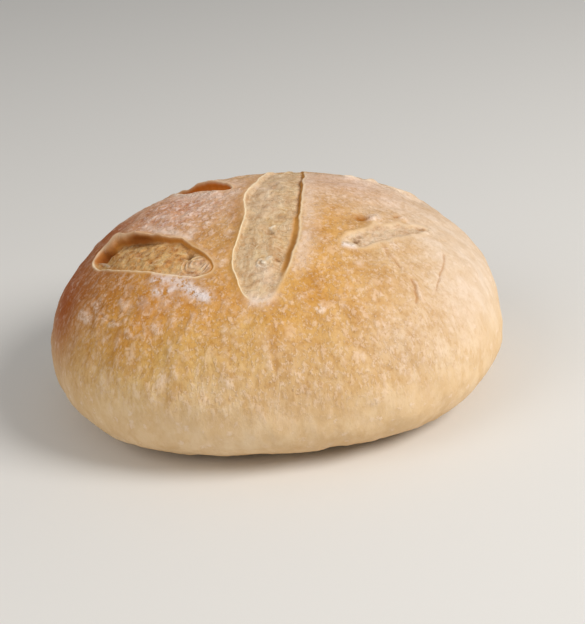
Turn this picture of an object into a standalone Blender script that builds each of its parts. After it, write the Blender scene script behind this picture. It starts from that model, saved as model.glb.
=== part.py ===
"""A round sourdough loaf: a domed boule on a flat foot, scored with one long cut over the crown and two
pairs of slanting side cuts.

The crust is laid out as an unrolled map: a map point is the direction from the crown times the distance
walked over the surface from the crown.  Cuts are drawn on that map, then every map point is wrapped onto
the form and lifted along its normal.  All lengths are in metres.
"""
import bpy
import bmesh
import numpy as np
from mathutils import Vector, geometry, noise

# Form of the loaf
HALF_WIDTH = 0.1120
HALF_DEPTH = 0.1086
WAIST_HEIGHT = 0.0328
CROWN_RISE = 0.0699
UNDERSIDE_DROP = 0.0390
CROWN_ROUNDNESS = 1.9
UNDERSIDE_ROUNDNESS = 2.8
PLAN_SQUARENESS = 2.2

# Relief of the crust: (size of the swells, height, place in the noise)
SWELLS = ((0.055, 0.0018, 214.5), (0.019, 0.0010, 118.2), (0.009, 0.0005, 17.6))
FOOT_BLEND = 0.014

# Scoring.  "start" and "end" are map points; "left" and "right" are seen from start to end and give
# (firmness of the torn edge, height of the lip, depth of the floor); "tips" gives the firmness left at
# start and end; "deep_start" deepens the floor towards the start; "bulges" widen the outline: (place from
# -1 to 1, 1 for left or -1 for right, amount).
CUTS = {
    "crown": {
        "start": (-0.0073, -0.0893), "end": (0.0190, 0.0680), "half_width": 0.0117, "taper": -0.43,
        "bluntness": 2.35, "left": (0.85, 0.0009, 0.0018), "right": (0.90, 0.0004, 0.0027),
        "tips": (0.05, 0.30), "floor_bulge": 0.0016, "deep_start": 0.0,
        "bulges": ((-0.68, 1, 0.0022), (-0.32, 1, -0.0016), (-0.08, 1, 0.0016), (-0.48, -1, 0.0015)),
    },
    "left_front": {
        "start": (-0.0866, -0.0084), "end": (-0.0267, -0.0653), "half_width": 0.0115, "taper": -0.20,
        "bluntness": 2.35, "left": (1.00, 0.0013, 0.0044), "right": (0.25, 0.0004, 0.0014),
        "tips": (0.75, 0.15), "floor_bulge": 0.0010, "deep_start": 0.28,
        "bulges": ((-0.80, 1, 0.0030), (-0.48, 1, -0.0013), (0.35, 1, 0.0016)),
    },
    "left_back": {
        "start": (-0.0663, 0.0583), "end": (-0.0138, -0.0015), "half_width": 0.0066, "taper": 0.20,
        "bluntness": 2.4, "left": (1.00, 0.0012, 0.0048), "right": (0.35, 0.0008, 0.0020),
        "tips": (0.40, 0.25), "floor_bulge": 0.0006, "deep_start": 0.0,
        "bulges": ((-0.45, 1, 0.0012), (-0.20, -1, 0.0008)),
    },
    "right_front": {
        "start": (0.0325, -0.0552), "end": (0.0795, -0.0234), "half_width": 0.0050, "taper": -0.30,
        "bluntness": 2.25, "left": (0.60, 0.0006, 0.0017), "right": (0.20, 0.0002, 0.0008),
        "tips": (0.30, 0.30), "floor_bulge": 0.0004, "deep_start": 0.0,
        "bulges": ((-0.10, 1, 0.0028), (0.38, 1, 0.0018), (0.90, 1, -0.0010), (-0.70, -1, 0.0011)),
    },
    "right_back": {
        "start": (0.0400, 0.0205), "end": (0.0850, 0.0500), "half_width": 0.0058, "taper": 0.0,
        "bluntness": 2.2, "left": (0.60, 0.0008, 0.0028), "right": (0.30, 0.0010, 0.0016),
        "tips": (0.40, 0.30), "floor_bulge": 0.0004, "deep_start": 0.0,
        "bulges": ((0.30, 1, 0.0010), (-0.35, -1, 0.0010)),
    },
}
BULGE_LENGTH = 0.13
BULGE_ONSET = 3.0
MOST_INSET = 0.6
CRUMB_HEIGHT = 0.0004
CRUMB_LENGTH = 0.007
TIP_DEPTH = 0.25
OUTLINE_WANDER = 0.0007
WANDER_LENGTH = 0.009
LIP_WANDER = 0.8
SIDE_BLEND = 1.4
TIP_SHARPNESS = 8

# Section across the edge of a cut, from the crust to the floor: (distance outwards, lip part, floor part)
SOFT_EDGE = (
    (0.0030, 0.0, 0.0), (0.0015, 0.5, 0.0), (0.0003, 1.0, 0.0), (-0.0007, 0.6, 0.2),
    (-0.0015, 0.3, 0.5), (-0.0022, 0.1, 0.75), (-0.0029, 0.0, 0.9), (-0.0036, 0.0, 1.0),
)
TORN_EDGE = (
    (0.0030, 0.0, 0.0), (0.0013, 0.6, 0.0), (-0.0002, 1.0, 0.0), (-0.0012, 0.6, 0.05),
    (-0.0009, 0.0, 0.17), (0.0007, 0.0, 0.45), (0.0003, 0.0, 0.8), (-0.0019, 0.0, 1.0),
)

# Size of the facets, as a length or as a number of steps
CRUST_STEP = 0.0052
EDGE_STEP = 0.0046
SIDE_STEP = 0.0062
FOOT_STEP = 0.0260
MAP_RADIUS = 0.1150
CROWN_STEPS = 400
FOOT_CURVE_STEPS = 300
TURN_STEPS = 1440
SLOPE_REACH = 0.0004
MERGE_DISTANCE = 1e-7

# Spread of the facets, as shares of their size
NUDGE = 0.22
RIM_GAP = 0.55
RING_GAP = 0.6
ROW_SPACING = np.sqrt(0.75)

# Places in the noise
SEED = 7
CRUMB_SHIFT = 31.0
WANDER_SHIFTS = (11.0, 17.0)
LIP_SHIFT = 23.0

# Surface
CRUST_COLOUR = (0.60, 0.38, 0.19, 1.0)
CRUST_ROUGHNESS = 0.82


def remove_everything():
    for item in list(bpy.data.objects):
        bpy.data.objects.remove(item, do_unlink=True)


def loaf_profile():
    """Walked distance, plan radius (as a fraction) and height, from the crown down to the foot."""
    fall = np.linspace(0.0, np.pi / 2, CROWN_STEPS)
    radius = np.sin(fall) ** (2 / CROWN_ROUNDNESS)
    height = WAIST_HEIGHT + CROWN_RISE * np.cos(fall) ** (2 / CROWN_ROUNDNESS)
    foot = np.arcsin((WAIST_HEIGHT / UNDERSIDE_DROP) ** (UNDERSIDE_ROUNDNESS / 2))
    turn = np.linspace(0.0, foot, FOOT_CURVE_STEPS)[1:]
    radius = np.concatenate([radius, np.cos(turn) ** (2 / UNDERSIDE_ROUNDNESS)])
    under = WAIST_HEIGHT - UNDERSIDE_DROP * np.sin(turn) ** (2 / UNDERSIDE_ROUNDNESS)
    height = np.concatenate([height, under])
    mean_radius = (HALF_WIDTH + HALF_DEPTH) / 2
    steps = np.hypot(np.diff(radius) * mean_radius, np.diff(height))
    walked = np.concatenate([[0.0], np.cumsum(steps)])
    return walked, radius, height


PROFILE = loaf_profile()
FOOT_DISTANCE = PROFILE[0][-1]


def wrap(plan):
    """Puts map points on the smooth form of the loaf."""
    walked, radius, height = PROFILE
    distance = np.hypot(plan[:, 0], plan[:, 1])
    bearing = np.arctan2(plan[:, 1], plan[:, 0])
    east, north = np.cos(bearing), np.sin(bearing)
    square = (np.abs(east) ** PLAN_SQUARENESS + np.abs(north) ** PLAN_SQUARENESS) ** (-1 / PLAN_SQUARENESS)
    reach = np.interp(distance, walked, radius) * square
    rise = np.interp(distance, walked, height)
    return np.column_stack([HALF_WIDTH * reach * east, HALF_DEPTH * reach * north, rise])


def outward(plan):
    """Unit normals of the smooth form at map points."""
    slope_east = wrap(plan + (SLOPE_REACH, 0.0)) - wrap(plan - (SLOPE_REACH, 0.0))
    slope_north = wrap(plan + (0.0, SLOPE_REACH)) - wrap(plan - (0.0, SLOPE_REACH))
    normal = np.cross(slope_east, slope_north)
    return normal / np.linalg.norm(normal, axis=1)[:, None]


def ripple(points, size, shift):
    """Smooth noise between about -1 and 1 at each point."""
    flat = np.zeros((len(points), 3))
    flat[:, :points.shape[1]] = points / size
    return np.array([noise.noise(Vector(p)) for p in flat + shift])


def relief(plan):
    """Height of the swells of the crust, fading out towards the foot."""
    form = wrap(plan)
    height = np.zeros(len(plan))
    for size, amount, shift in SWELLS:
        height += amount * ripple(form, size, shift)
    to_foot = FOOT_DISTANCE - np.hypot(plan[:, 0], plan[:, 1])
    return height * np.clip(to_foot / FOOT_BLEND, 0.0, 1.0)


def cut_axes(cut):
    """Middle of a cut on the map, the directions along it and to its left, and its half length."""
    start, end = np.array(cut["start"]), np.array(cut["end"])
    half_length = np.linalg.norm(end - start) / 2
    along = (end - start) / (2 * half_length)
    across = np.array([-along[1], along[0]])
    return (start + end) / 2, along, across, half_length


def cut_loop(cut, turn, out):
    """Closed outline of a cut on the map, moved outwards by the given distances."""
    middle, along, across, half_length = cut_axes(cut)
    power = 2 / cut["bluntness"]
    run = np.sign(np.cos(turn)) * np.abs(np.cos(turn)) ** power
    swing = np.sign(np.sin(turn)) * np.abs(np.sin(turn)) ** power
    half_width = cut["half_width"] * (1 + cut["taper"] * run)
    most = MOST_INSET * half_width
    out = np.where(out < 0, -most * np.tanh(-out / most), out)
    length = (half_length + out) * run
    width = (half_width + out) * swing
    for place, side, amount in cut["bulges"]:
        on_side = np.clip(BULGE_ONSET * side * np.sin(turn), 0.0, 1.0)
        width += side * on_side * amount * np.exp(-((run - place) / BULGE_LENGTH) ** 2)
    return middle + length[:, None] * along + width[:, None] * across


def even_turns(cut):
    """Turn angles that share the outline of a cut out in even steps."""
    fine = np.linspace(0.0, 2 * np.pi, TURN_STEPS + 1)
    loop = cut_loop(cut, fine, np.zeros(len(fine)))
    walked = np.concatenate([[0.0], np.cumsum(np.linalg.norm(np.diff(loop, axis=0), axis=1))])
    count = int(round(walked[-1] / EDGE_STEP))
    return np.interp(np.arange(count) * walked[-1] / count, walked, fine)


def place_in_cut(cut, plan):
    """Position along a cut from -1 to 1, and across it from -1 on the right to 1 on the left."""
    middle, along, across, half_length = cut_axes(cut)
    run = np.clip((plan - middle) @ along / half_length, -1.0, 1.0)
    width = cut["half_width"] * (1 + cut["taper"] * run)
    return run, np.clip((plan - middle) @ across / width, -1.0, 1.0)


def floor_height(cut, plan):
    """Height of the torn floor of a cut against the crust around it."""
    run, side = place_in_cut(cut, plan)
    left_depth, right_depth = cut["left"][2], cut["right"][2]
    depth = (left_depth * (1 + side) + right_depth * (1 - side)) / 2
    depth = depth * (1 - cut["deep_start"] * run)
    shallow_tips = (1 - np.abs(run) ** 3) ** 0.5
    crumb = CRUMB_HEIGHT * ripple(plan, CRUMB_LENGTH, SEED + CRUMB_SHIFT)
    floor = cut["floor_bulge"] * (1 - side ** 2) - depth
    return floor * (TIP_DEPTH + (1 - TIP_DEPTH) * shallow_tips) + crumb * shallow_tips


def side_values(cut, turn):
    """Firmness and lip height all round a cut."""
    run, swing = np.cos(turn), np.sin(turn)
    blend = np.clip(0.5 + SIDE_BLEND * swing, 0.0, 1.0)
    left_part = blend * blend * (3 - 2 * blend)
    firm = cut["left"][0] * left_part + cut["right"][0] * (1 - left_part)
    lip = cut["left"][1] * left_part + cut["right"][1] * (1 - left_part)
    tip = np.where(run < 0, cut["tips"][0], cut["tips"][1])
    tip_part = np.abs(run) ** TIP_SHARPNESS
    return firm * (1 - tip_part) + tip * tip_part, lip * (1 - tip_part * (1 - tip))


class Shell:
    """Vertices and faces of the loaf while it grows."""

    def __init__(self):
        self.points = []
        self.faces = []

    def add_points(self, points):
        first = len(self.points)
        self.points.extend(Vector(p) for p in points)
        return np.arange(first, first + len(points))

    def add_band(self, outer, inner):
        """Joins two closed loops of equal length; outer runs anticlockwise around inner."""
        for here in range(len(outer)):
            there = (here + 1) % len(outer)
            self.faces.append((outer[here], outer[there], inner[there], inner[here]))

    def add_sheet(self, plan, index, loops, keep, flip=False):
        """Fills a region of the map with triangles; keep decides on their centres."""
        edges = []
        for first, count in loops:
            edges += [(first + k, first + (k + 1) % count) for k in range(count)]
        cells = geometry.delaunay_2d_cdt([Vector(p) for p in plan], edges, [], 0, MERGE_DISTANCE)
        source = [found[0] for found in cells[3]]
        triangles = np.array([[source[corner] for corner in cell] for cell in cells[2]])
        centres = plan[triangles].mean(axis=1)
        for triangle in triangles[keep(centres)]:
            corners = [index[corner] for corner in triangle]
            self.faces.append(tuple(corners[::-1] if flip else corners))


def inside(loop, plan):
    """Whether map points lie within a closed loop."""
    crossings = np.zeros(len(plan), dtype=int)
    for (ax, ay), (bx, by) in zip(loop, np.roll(loop, -1, axis=0)):
        spans = (ay > plan[:, 1]) != (by > plan[:, 1])
        if ay != by:
            meets = ax + (plan[:, 1] - ay) * (bx - ax) / (by - ay)
            crossings += spans & (plan[:, 0] < meets)
    return crossings % 2 == 1


def far_from(loop, plan, gap):
    """Whether map points keep a gap to every point of a loop."""
    nearest = np.full(len(plan), np.inf)
    for point in loop:
        nearest = np.minimum(nearest, np.hypot(plan[:, 0] - point[0], plan[:, 1] - point[1]))
    return nearest > gap


def scattered(radius, step):
    """Staggered points filling a disc of the map, each nudged a little."""
    random = np.random.default_rng(SEED)
    reach = int(radius / step) + 2
    column, row = np.meshgrid(np.arange(-reach, reach + 1), np.arange(-reach, reach + 1))
    east = (column + 0.5 * (row % 2)) * step
    north = row * step * ROW_SPACING
    plan = np.column_stack([east.ravel(), north.ravel()])
    plan += random.uniform(-NUDGE, NUDGE, plan.shape) * step
    return plan[np.hypot(plan[:, 0], plan[:, 1]) < radius]


def cut_edge(shell, cut):
    """Builds the bands around the edge of one cut; returns its outermost and innermost loops."""
    turn = even_turns(cut)
    firm, lip = side_values(cut, turn)
    outline = cut_loop(cut, turn, np.zeros(len(turn)))
    wander = OUTLINE_WANDER * np.column_stack([
        ripple(outline, WANDER_LENGTH, SEED + shift) for shift in WANDER_SHIFTS])
    lip = lip * (1 + LIP_WANDER * ripple(outline, WANDER_LENGTH, SEED + LIP_SHIFT))
    loops = []
    for soft, torn in zip(SOFT_EDGE, TORN_EDGE):
        out, lip_part, floor_part = (soft[k] * (1 - firm) + torn[k] * firm for k in range(3))
        plan = cut_loop(cut, turn, out) + wander
        floor = floor_height(cut, plan)
        height = relief(plan) + lip * lip_part + floor * floor_part
        loops.append((plan, shell.add_points(wrap(plan) + outward(plan) * height[:, None])))
    for (_, outer), (_, inner) in zip(loops, loops[1:]):
        shell.add_band(outer, inner)
    return loops[0], loops[-1]


def cut_floor(shell, cut, rim_plan, rim):
    """Fills the floor of one cut."""
    plan = scattered(MAP_RADIUS, CRUST_STEP)
    plan = plan[inside(rim_plan, plan)]
    plan = plan[far_from(rim_plan, plan, RIM_GAP * CRUST_STEP)]
    height = relief(plan) + floor_height(cut, plan)
    middle = shell.add_points(wrap(plan) + outward(plan) * height[:, None])
    everything = np.concatenate([rim_plan, plan])
    index = np.concatenate([rim, middle])
    shell.add_sheet(everything, index, [(0, len(rim))], lambda centres: inside(rim_plan, centres))


def upper_crust(shell, rims):
    """Fills the top of the loaf around the cuts; returns the ring it ends on."""
    count = int(round(2 * np.pi * MAP_RADIUS / SIDE_STEP))
    bearing = np.arange(count) * 2 * np.pi / count
    ring_plan = MAP_RADIUS * np.column_stack([np.cos(bearing), np.sin(bearing)])
    plan = scattered(MAP_RADIUS - RING_GAP * CRUST_STEP, CRUST_STEP)
    for rim_plan, _ in rims:
        plan = plan[~inside(rim_plan, plan)]
        plan = plan[far_from(rim_plan, plan, RIM_GAP * CRUST_STEP)]
    fresh = np.concatenate([ring_plan, plan])
    indices = shell.add_points(wrap(fresh) + outward(fresh) * relief(fresh)[:, None])
    everything, index, loops = fresh, indices, [(0, count)]
    for rim_plan, rim in rims:
        loops.append((len(everything), len(rim)))
        everything = np.concatenate([everything, rim_plan])
        index = np.concatenate([index, rim])

    def on_crust(centres):
        covered = np.zeros(len(centres), dtype=bool)
        for rim_plan, _ in rims:
            covered |= inside(rim_plan, centres)
        return ~covered

    shell.add_sheet(everything, index, loops, on_crust)
    return bearing, indices[:count]


def side_and_foot(shell, bearing, ring):
    """Carries the crust down to the foot and closes the flat base."""
    direction = np.column_stack([np.cos(bearing), np.sin(bearing)])
    steps = int(round((FOOT_DISTANCE - MAP_RADIUS) / SIDE_STEP))
    for distance in np.linspace(MAP_RADIUS, FOOT_DISTANCE, steps + 1)[1:]:
        plan = direction * distance
        lower = shell.add_points(wrap(plan) + outward(plan) * relief(plan)[:, None])
        shell.add_band(lower, ring)
        ring = lower
    foot = wrap(direction * FOOT_DISTANCE)[:, :2]
    foot_radius = np.hypot(foot[:, 0], foot[:, 1]).min()
    middle = scattered(foot_radius - RING_GAP * FOOT_STEP, FOOT_STEP)
    base = shell.add_points(np.column_stack([middle, np.zeros(len(middle))]))
    everything = np.concatenate([foot, middle])
    index = np.concatenate([ring, base])
    shell.add_sheet(everything, index, [(0, len(ring))], lambda centres: inside(foot, centres), flip=True)


def crust_material():
    material = bpy.data.materials.new("crust")
    material.use_nodes = True
    surface = next(node for node in material.node_tree.nodes if node.type == "BSDF_PRINCIPLED")
    surface.inputs["Base Color"].default_value = CRUST_COLOUR
    surface.inputs["Roughness"].default_value = CRUST_ROUGHNESS
    surface.inputs["Metallic"].default_value = 0.0
    material.diffuse_color = CRUST_COLOUR
    return material


def build_loaf():
    """Builds the closed loaf, centres it in plan and stands it on the ground plane."""
    shell = Shell()
    rims = []
    for cut in CUTS.values():
        outer, inner = cut_edge(shell, cut)
        cut_floor(shell, cut, *inner)
        rims.append(outer)
    bearing, ring = upper_crust(shell, rims)
    side_and_foot(shell, bearing, ring)
    points = np.array(shell.points)
    centre = (points.min(axis=0) + points.max(axis=0)) / 2
    points -= (centre[0], centre[1], points[:, 2].min())
    mesh = bpy.data.meshes.new("loaf")
    mesh.from_pydata(points.tolist(), [], [tuple(int(i) for i in face) for face in shell.faces])
    body = bmesh.new()
    body.from_mesh(mesh)
    bmesh.ops.triangulate(body, faces=body.faces[:])
    bmesh.ops.recalc_face_normals(body, faces=body.faces[:])
    body.to_mesh(mesh)
    body.free()
    loaf = bpy.data.objects.new("loaf", mesh)
    loaf.data.materials.append(crust_material())
    bpy.context.scene.collection.objects.link(loaf)
    return loaf


remove_everything()
build_loaf()
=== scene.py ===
"""The finished look of a round sourdough loaf: crust, torn cuts, flour, floor, light and camera.

The crust is laid out as an unrolled map: a map point is the direction from the crown times the distance
walked over the surface from the crown.  Cuts, blisters, cracks and tones are placed on that map, then every
map point is wrapped onto the form and lifted along its normal.  Lengths are in millimetres as far as the
mesh, and in metres for the shaders, the floor, the lamps and the camera.
"""
import math
import bpy
import numpy as np
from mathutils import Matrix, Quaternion, Vector, geometry, kdtree, noise


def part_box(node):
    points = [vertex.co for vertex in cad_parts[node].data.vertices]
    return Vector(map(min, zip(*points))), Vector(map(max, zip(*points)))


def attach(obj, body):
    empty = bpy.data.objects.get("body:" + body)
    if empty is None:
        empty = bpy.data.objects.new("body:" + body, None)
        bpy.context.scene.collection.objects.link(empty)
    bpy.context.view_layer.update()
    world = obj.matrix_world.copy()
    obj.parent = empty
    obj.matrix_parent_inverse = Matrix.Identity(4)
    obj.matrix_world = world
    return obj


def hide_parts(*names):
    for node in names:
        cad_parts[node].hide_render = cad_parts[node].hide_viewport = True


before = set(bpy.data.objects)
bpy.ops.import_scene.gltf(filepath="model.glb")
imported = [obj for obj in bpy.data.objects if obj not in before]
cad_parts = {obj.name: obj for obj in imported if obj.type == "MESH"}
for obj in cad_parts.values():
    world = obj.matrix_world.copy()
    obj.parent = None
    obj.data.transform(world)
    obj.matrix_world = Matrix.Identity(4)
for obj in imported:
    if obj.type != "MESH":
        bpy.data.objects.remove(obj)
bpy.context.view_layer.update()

# ---- form of the loaf
HALF_WIDTH = 112.0
HALF_DEPTH = 108.6
WAIST_HEIGHT = 32.8
CROWN_RISE = 69.9
UNDERSIDE_DROP = 39.0
CROWN_ROUNDNESS = 1.9
UNDERSIDE_ROUNDNESS = 2.8
PLAN_SQUARENESS = 2.2

# Relief of the crust: (size of the swells, height, place in the noise)
SWELLS = ((55, 1.8, 214.5), (19, 1, 118.2), (9, 0.5, 17.6))
FOOT_BLEND = 14.0
# Wrinkles that run down the side, WRINKLE_TURN wide in radians, and the grain of the skin as above
WRINKLE_TURN = 0.028
WRINKLE_LENGTH = 14.0
WRINKLE_HEIGHT = 0.12
WRINKLES_FROM = 70.0
WRINKLES_BLEND = 30.0
GRAIN = ((4.5, 0.3, 40.7), (2.2, 0.14, 51.9))

# Scoring.  "start" and "end" are map points and the left side is seen from start to end.  "depths" are the
# floor depths at left and right; "bulges" widen the outline: (place from -1 to 1, 1 left or -1 right,
# amount).  "edges" go round the outline from the end over the left side: (degrees, section, lip height).
# "hollows" sink the floor: (place along, place across, their sizes, depth, painted shade on floor and
# walls).
CUTS = {
    "crown": dict(
        start=(-7.3, -89.3), end=(19, 68), half_width=11.7, taper=-0.43,
        bluntness=2.35, depths=(1.8, 2.2), floor_bulge=1.6, deep_start=0, ragged=0.45,
        tone="crumb_grey", wall_tone=(204, 146, 72),
        bulges=((-0.68, 1, 2.2), (-0.32, 1, -1.6), (-0.08, 1, 1.6), (-0.48, -1, 1.5)),
        edges=((0, "faint", 0.2), (35, "ridge", 0.3), (75, "ridge", 0.7), (150, "ridge", 1),
               (160, "ridge", 0.6), (172, "faint", 0.3), (212, "faint", 0.3), (226, "bank", 0.4),
               (246, "bank", 0.4), (262, "cliff", 0.4), (335, "cliff", 0.3)),
        hollows=((-0.45, -0.05, 0.022, 0.13, 1.6, 0.4), (-0.42, 0.6, 0.007, 0.06, 0.8, 0.6),
                 (-0.62, -0.7, 0.17, 0.34, 2, 0.05), (0.1, 0.3, 0.05, 0.25, 0.8, 0.15),
                 (-0.68, -0.44, 0.008, 0.06, 0.8, 0.8), (0.02, -0.51, 0.01, 0.1, 0.8, 0.6),
                 (0.06, 0, 0.03, 0.2, 1, 0.2), (-0.66, -0.95, 0.16, 0.3, 0, 0.3)),
    ),
    "left_front": dict(
        start=(-86.6, -8.4), end=(-26.7, -65.3), half_width=11.5, taper=-0.2,
        bluntness=2.35, depths=(2.7, 1.3), floor_bulge=0.8, deep_start=0.35, ragged=1,
        tone="crumb_yellow", wall_tone=(202, 138, 64),
        bulges=((-0.8, 1, 2.2), (0.35, 1, 1.6)),
        edges=((0, "slope", 0.3), (50, "slope", 0.5), (96, "slope", 0.8), (106, "torn", 1.2),
               (114, "torn", 1.5), (138, "rolled", 1.8), (158, "rolled", 1.6), (176, "hook", 1.2),
               (188, "hook", 0.8), (204, "thin", 0.5), (335, "thin", 0.4)),
        hollows=((-0.9, 0.1, 0.15, 0.3, 4.6, 1), (-0.78, -0.48, 0.22, 0.36, 1.4, 0.1),
                 (0.58, 0.4, 0.05, 0.16, 2, 0.85), (-0.4, 0.92, 0.34, 0.5, 0, 0.74),
                 (0.02, 1, 0.2, 0.25, 0, 0.3), (-0.6, 0.74, 0.48, 0.66, 1.8, 0),
                 (-1, 0.2, 0.12, 0.6, 0, 0.9)),
    ),
    "left_back": dict(
        start=(-60, 60), end=(-15, -1.6), half_width=7.2, taper=0,
        bluntness=1.9, depths=(5, 2.4), floor_bulge=0.6, deep_start=0, ragged=0.8,
        tone="crumb_yellow", wall_tone=(208, 122, 44),
        bulges=((-0.45, 1, 1.2), (0.3, -1, 0.8)),
        edges=((0, "hook", 0.4), (30, "torn", 1), (140, "torn", 1.4), (180, "faint", 0.4),
               (215, "thin", 0.6), (330, "thin", 0.6)),
        hollows=(),
    ),
    "right_front": dict(
        start=(32.5, -55.2), end=(79.5, -23.4), half_width=5, taper=-0.3,
        bluntness=2.4, depths=(1.7, 0.8), floor_bulge=0.4, deep_start=0, ragged=0.4,
        tone="crumb_pale", wall_tone=(206, 160, 104),
        bulges=((-0.1, 1, 2.8), (0.38, 1, 1.8), (0.74, 1, 0.9), (-0.7, -1, 1.1)),
        edges=((0, "faint", 0.4), (45, "faint", 0.4), (120, "faint", 0.6), (180, "faint", 0.6),
               (230, "faint", 0.3), (320, "faint", 0.2)),
        hollows=((-0.72, -0.06, 0.05, 0.2, 1.1, 0.75), (-0.6, 0.35, 0.04, 0.16, 0.9, 0.55),
                 (0.8, 0.14, 0.12, 0.2, 0.9, 0.35)),
    ),
    "right_back": dict(
        start=(40, 20.5), end=(85, 50), half_width=5.8, taper=0,
        bluntness=2.2, depths=(2.8, 1.6), floor_bulge=0.4, deep_start=0, ragged=0.4,
        tone="pearl", wall_tone=(222, 190, 160),
        bulges=((0.3, 1, 1), (-0.35, -1, 1)),
        edges=((0, "faint", 0.4), (60, "faint", 0.8), (150, "faint", 0.8), (190, "faint", 1),
               (225, "faint", 1.2), (250, "faint", 0.2), (285, "faint", 1), (330, "faint", 0.4)),
        hollows=(),
    ),
}
BULGE_LENGTH = 0.13
MOST_INSET = 0.6
CRUMB_HEIGHT = 0.4
CRUMB_LENGTH = 7.0
RAG_HEIGHT = 0.6
RAG_LENGTH = 2.8
OUTLINE_WANDER = 0.7
WANDER_LENGTH = 9.0
FINE_WANDER = 0.35
FINE_WANDER_LENGTH = 3.2
LIP_WANDER = 0.8
RIM_SMOOTHNESS = 0.7
TIP_DEPTH = 0.25

# Sections across the edge of a cut, from the crust to the floor:
# (distance outwards, lip part, floor part, torn crumb, pale rim, baked wall)
# The pale rim is partly the lip's own pale edge, partly painted highlight on its crest.
SECTIONS = {
    "faint": (
        (3, 0, 0, 0, 0, 0), (1.6, 0.5, 0, 0, 0, 0), (0.4, 1, 0, 0.2, 0.05, 0),
        (-0.6, 0.7, 0.15, 0.5, 0.15, 0), (-1.4, 0.35, 0.45, 0.8, 0, 0), (-2.1, 0.1, 0.75, 1, 0, 0),
        (-2.8, 0, 0.9, 1, 0, 0), (-3.6, 0, 1, 1, 0, 0),
    ),
    "ridge": (
        (4.6, 0, 0, 0, 0, 0.1), (1.8, 0.4, 0, 0, 0, 0.3), (0.5, 0.9, 0, 0, 0, 0),
        (0, 1, 0, 0, 0.95, 0), (-0.5, 0.75, 0.15, 0.6, 0.2, 0), (-1, 0.25, 0.55, 1, 0, 0),
        (-1.9, 0, 0.9, 1, 0, 0), (-3.4, 0, 1, 1, 0, 0),
    ),
    "cliff": (
        (3, 0, 0, 0, 0, 0), (1.3, 0.5, 0, 0, 0.05, 0), (0.3, 1, 0.02, 0, 0.45, 0),
        (-0.2, 0.6, 0.12, 0, 0, 0.9), (-0.5, 0.1, 0.42, 0, 0, 1), (-0.8, 0, 0.74, 0, 0, 1),
        (-1.2, 0, 0.95, 0.6, 0, 0.7), (-2.4, 0, 1, 1, 0, 0),
    ),
    "bank": (
        (3, 0, 0, 0, 0, 0), (1.3, 0.5, 0, 0, 0.1, 0), (0.3, 1, 0.02, 0, 0.55, 0),
        (-0.6, 0.4, 0.22, 0, 0, 0.8), (-1.7, 0.1, 0.52, 0, 0, 0.9), (-2.8, 0, 0.8, 0, 0, 0.8),
        (-3.7, 0, 0.96, 0.4, 0, 0.5), (-4.8, 0, 1, 1, 0, 0.1),
    ),
    "torn": (
        (3, 0, 0, 0, 0, 0), (1.3, 0.6, 0, 0, 0.05, 0), (-0.1, 1, 0, 0, 0.2, 0.1),
        (-1, 0.6, 0.06, 0, 0.05, 0.5), (-1, 0.1, 0.25, 0, 0, 1), (-0.8, 0, 0.55, 0, 0, 1),
        (-1.4, 0, 0.88, 0.2, 0, 1), (-3.2, 0, 1, 1, 0, 0.2),
    ),
    "rolled": (
        (2.4, 0, 0, 0, 0, 0), (0.7, 0.7, 0, 0, 0, 0), (0, 1, 0, 0, 0.45, 0),
        (-1, 0.85, 0.05, 0, 0.38, 0.2), (-3, 0.6, 0.16, 0, 0.14, 0.4), (-4.6, 0.3, 0.34, 0, 0, 0.6),
        (-4.8, 0, 0.75, 0, 0, 1), (-5.6, 0, 1, 0.7, 0, 0.7),
    ),
    "slope": (
        (3, 0, 0, 0, 0, 0), (1.2, 0.6, 0, 0, 0, 0), (0.1, 1, 0, 0, 0.22, 0),
        (-0.3, 0.7, 0.15, 0, 0, 0.6), (-0.7, 0.25, 0.42, 0, 0, 1), (-1.1, 0.05, 0.75, 0.1, 0, 0.9),
        (-1.7, 0, 0.95, 0.6, 0, 0.4), (-3, 0, 1, 1, 0, 0),
    ),
    "hook": (
        (2.4, 0, 0, 0, 0, 0), (0.7, 0.7, 0, 0, 0, 0), (0.1, 1, 0, 0, 0.55, 0),
        (-0.5, 0.85, 0.05, 0, 0.4, 0.1), (-1, 0.5, 0.18, 0, 0, 0.5), (-1.3, 0.1, 0.55, 0, 0, 0.9),
        (-1.6, 0, 0.88, 0.2, 0, 0.8), (-2.6, 0, 1, 0.9, 0, 0.3),
    ),
    "thin": (
        (3, 0, 0, 0, 0, 0), (1.3, 0.5, 0, 0, 0, 0), (0.3, 1, 0, 0, 0.5, 0),
        (-0.2, 0.8, 0.15, 0.2, 0.85, 0), (-0.7, 0.3, 0.6, 0.8, 0.05, 0.2), (-1.4, 0, 0.85, 1, 0, 0.1),
        (-2.3, 0, 0.95, 1, 0, 0), (-3.6, 0, 1, 1, 0, 0),
    ),
}
EDGE_ROWS = 19
MATTER = ("crumb", "rim", "wall")

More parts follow.
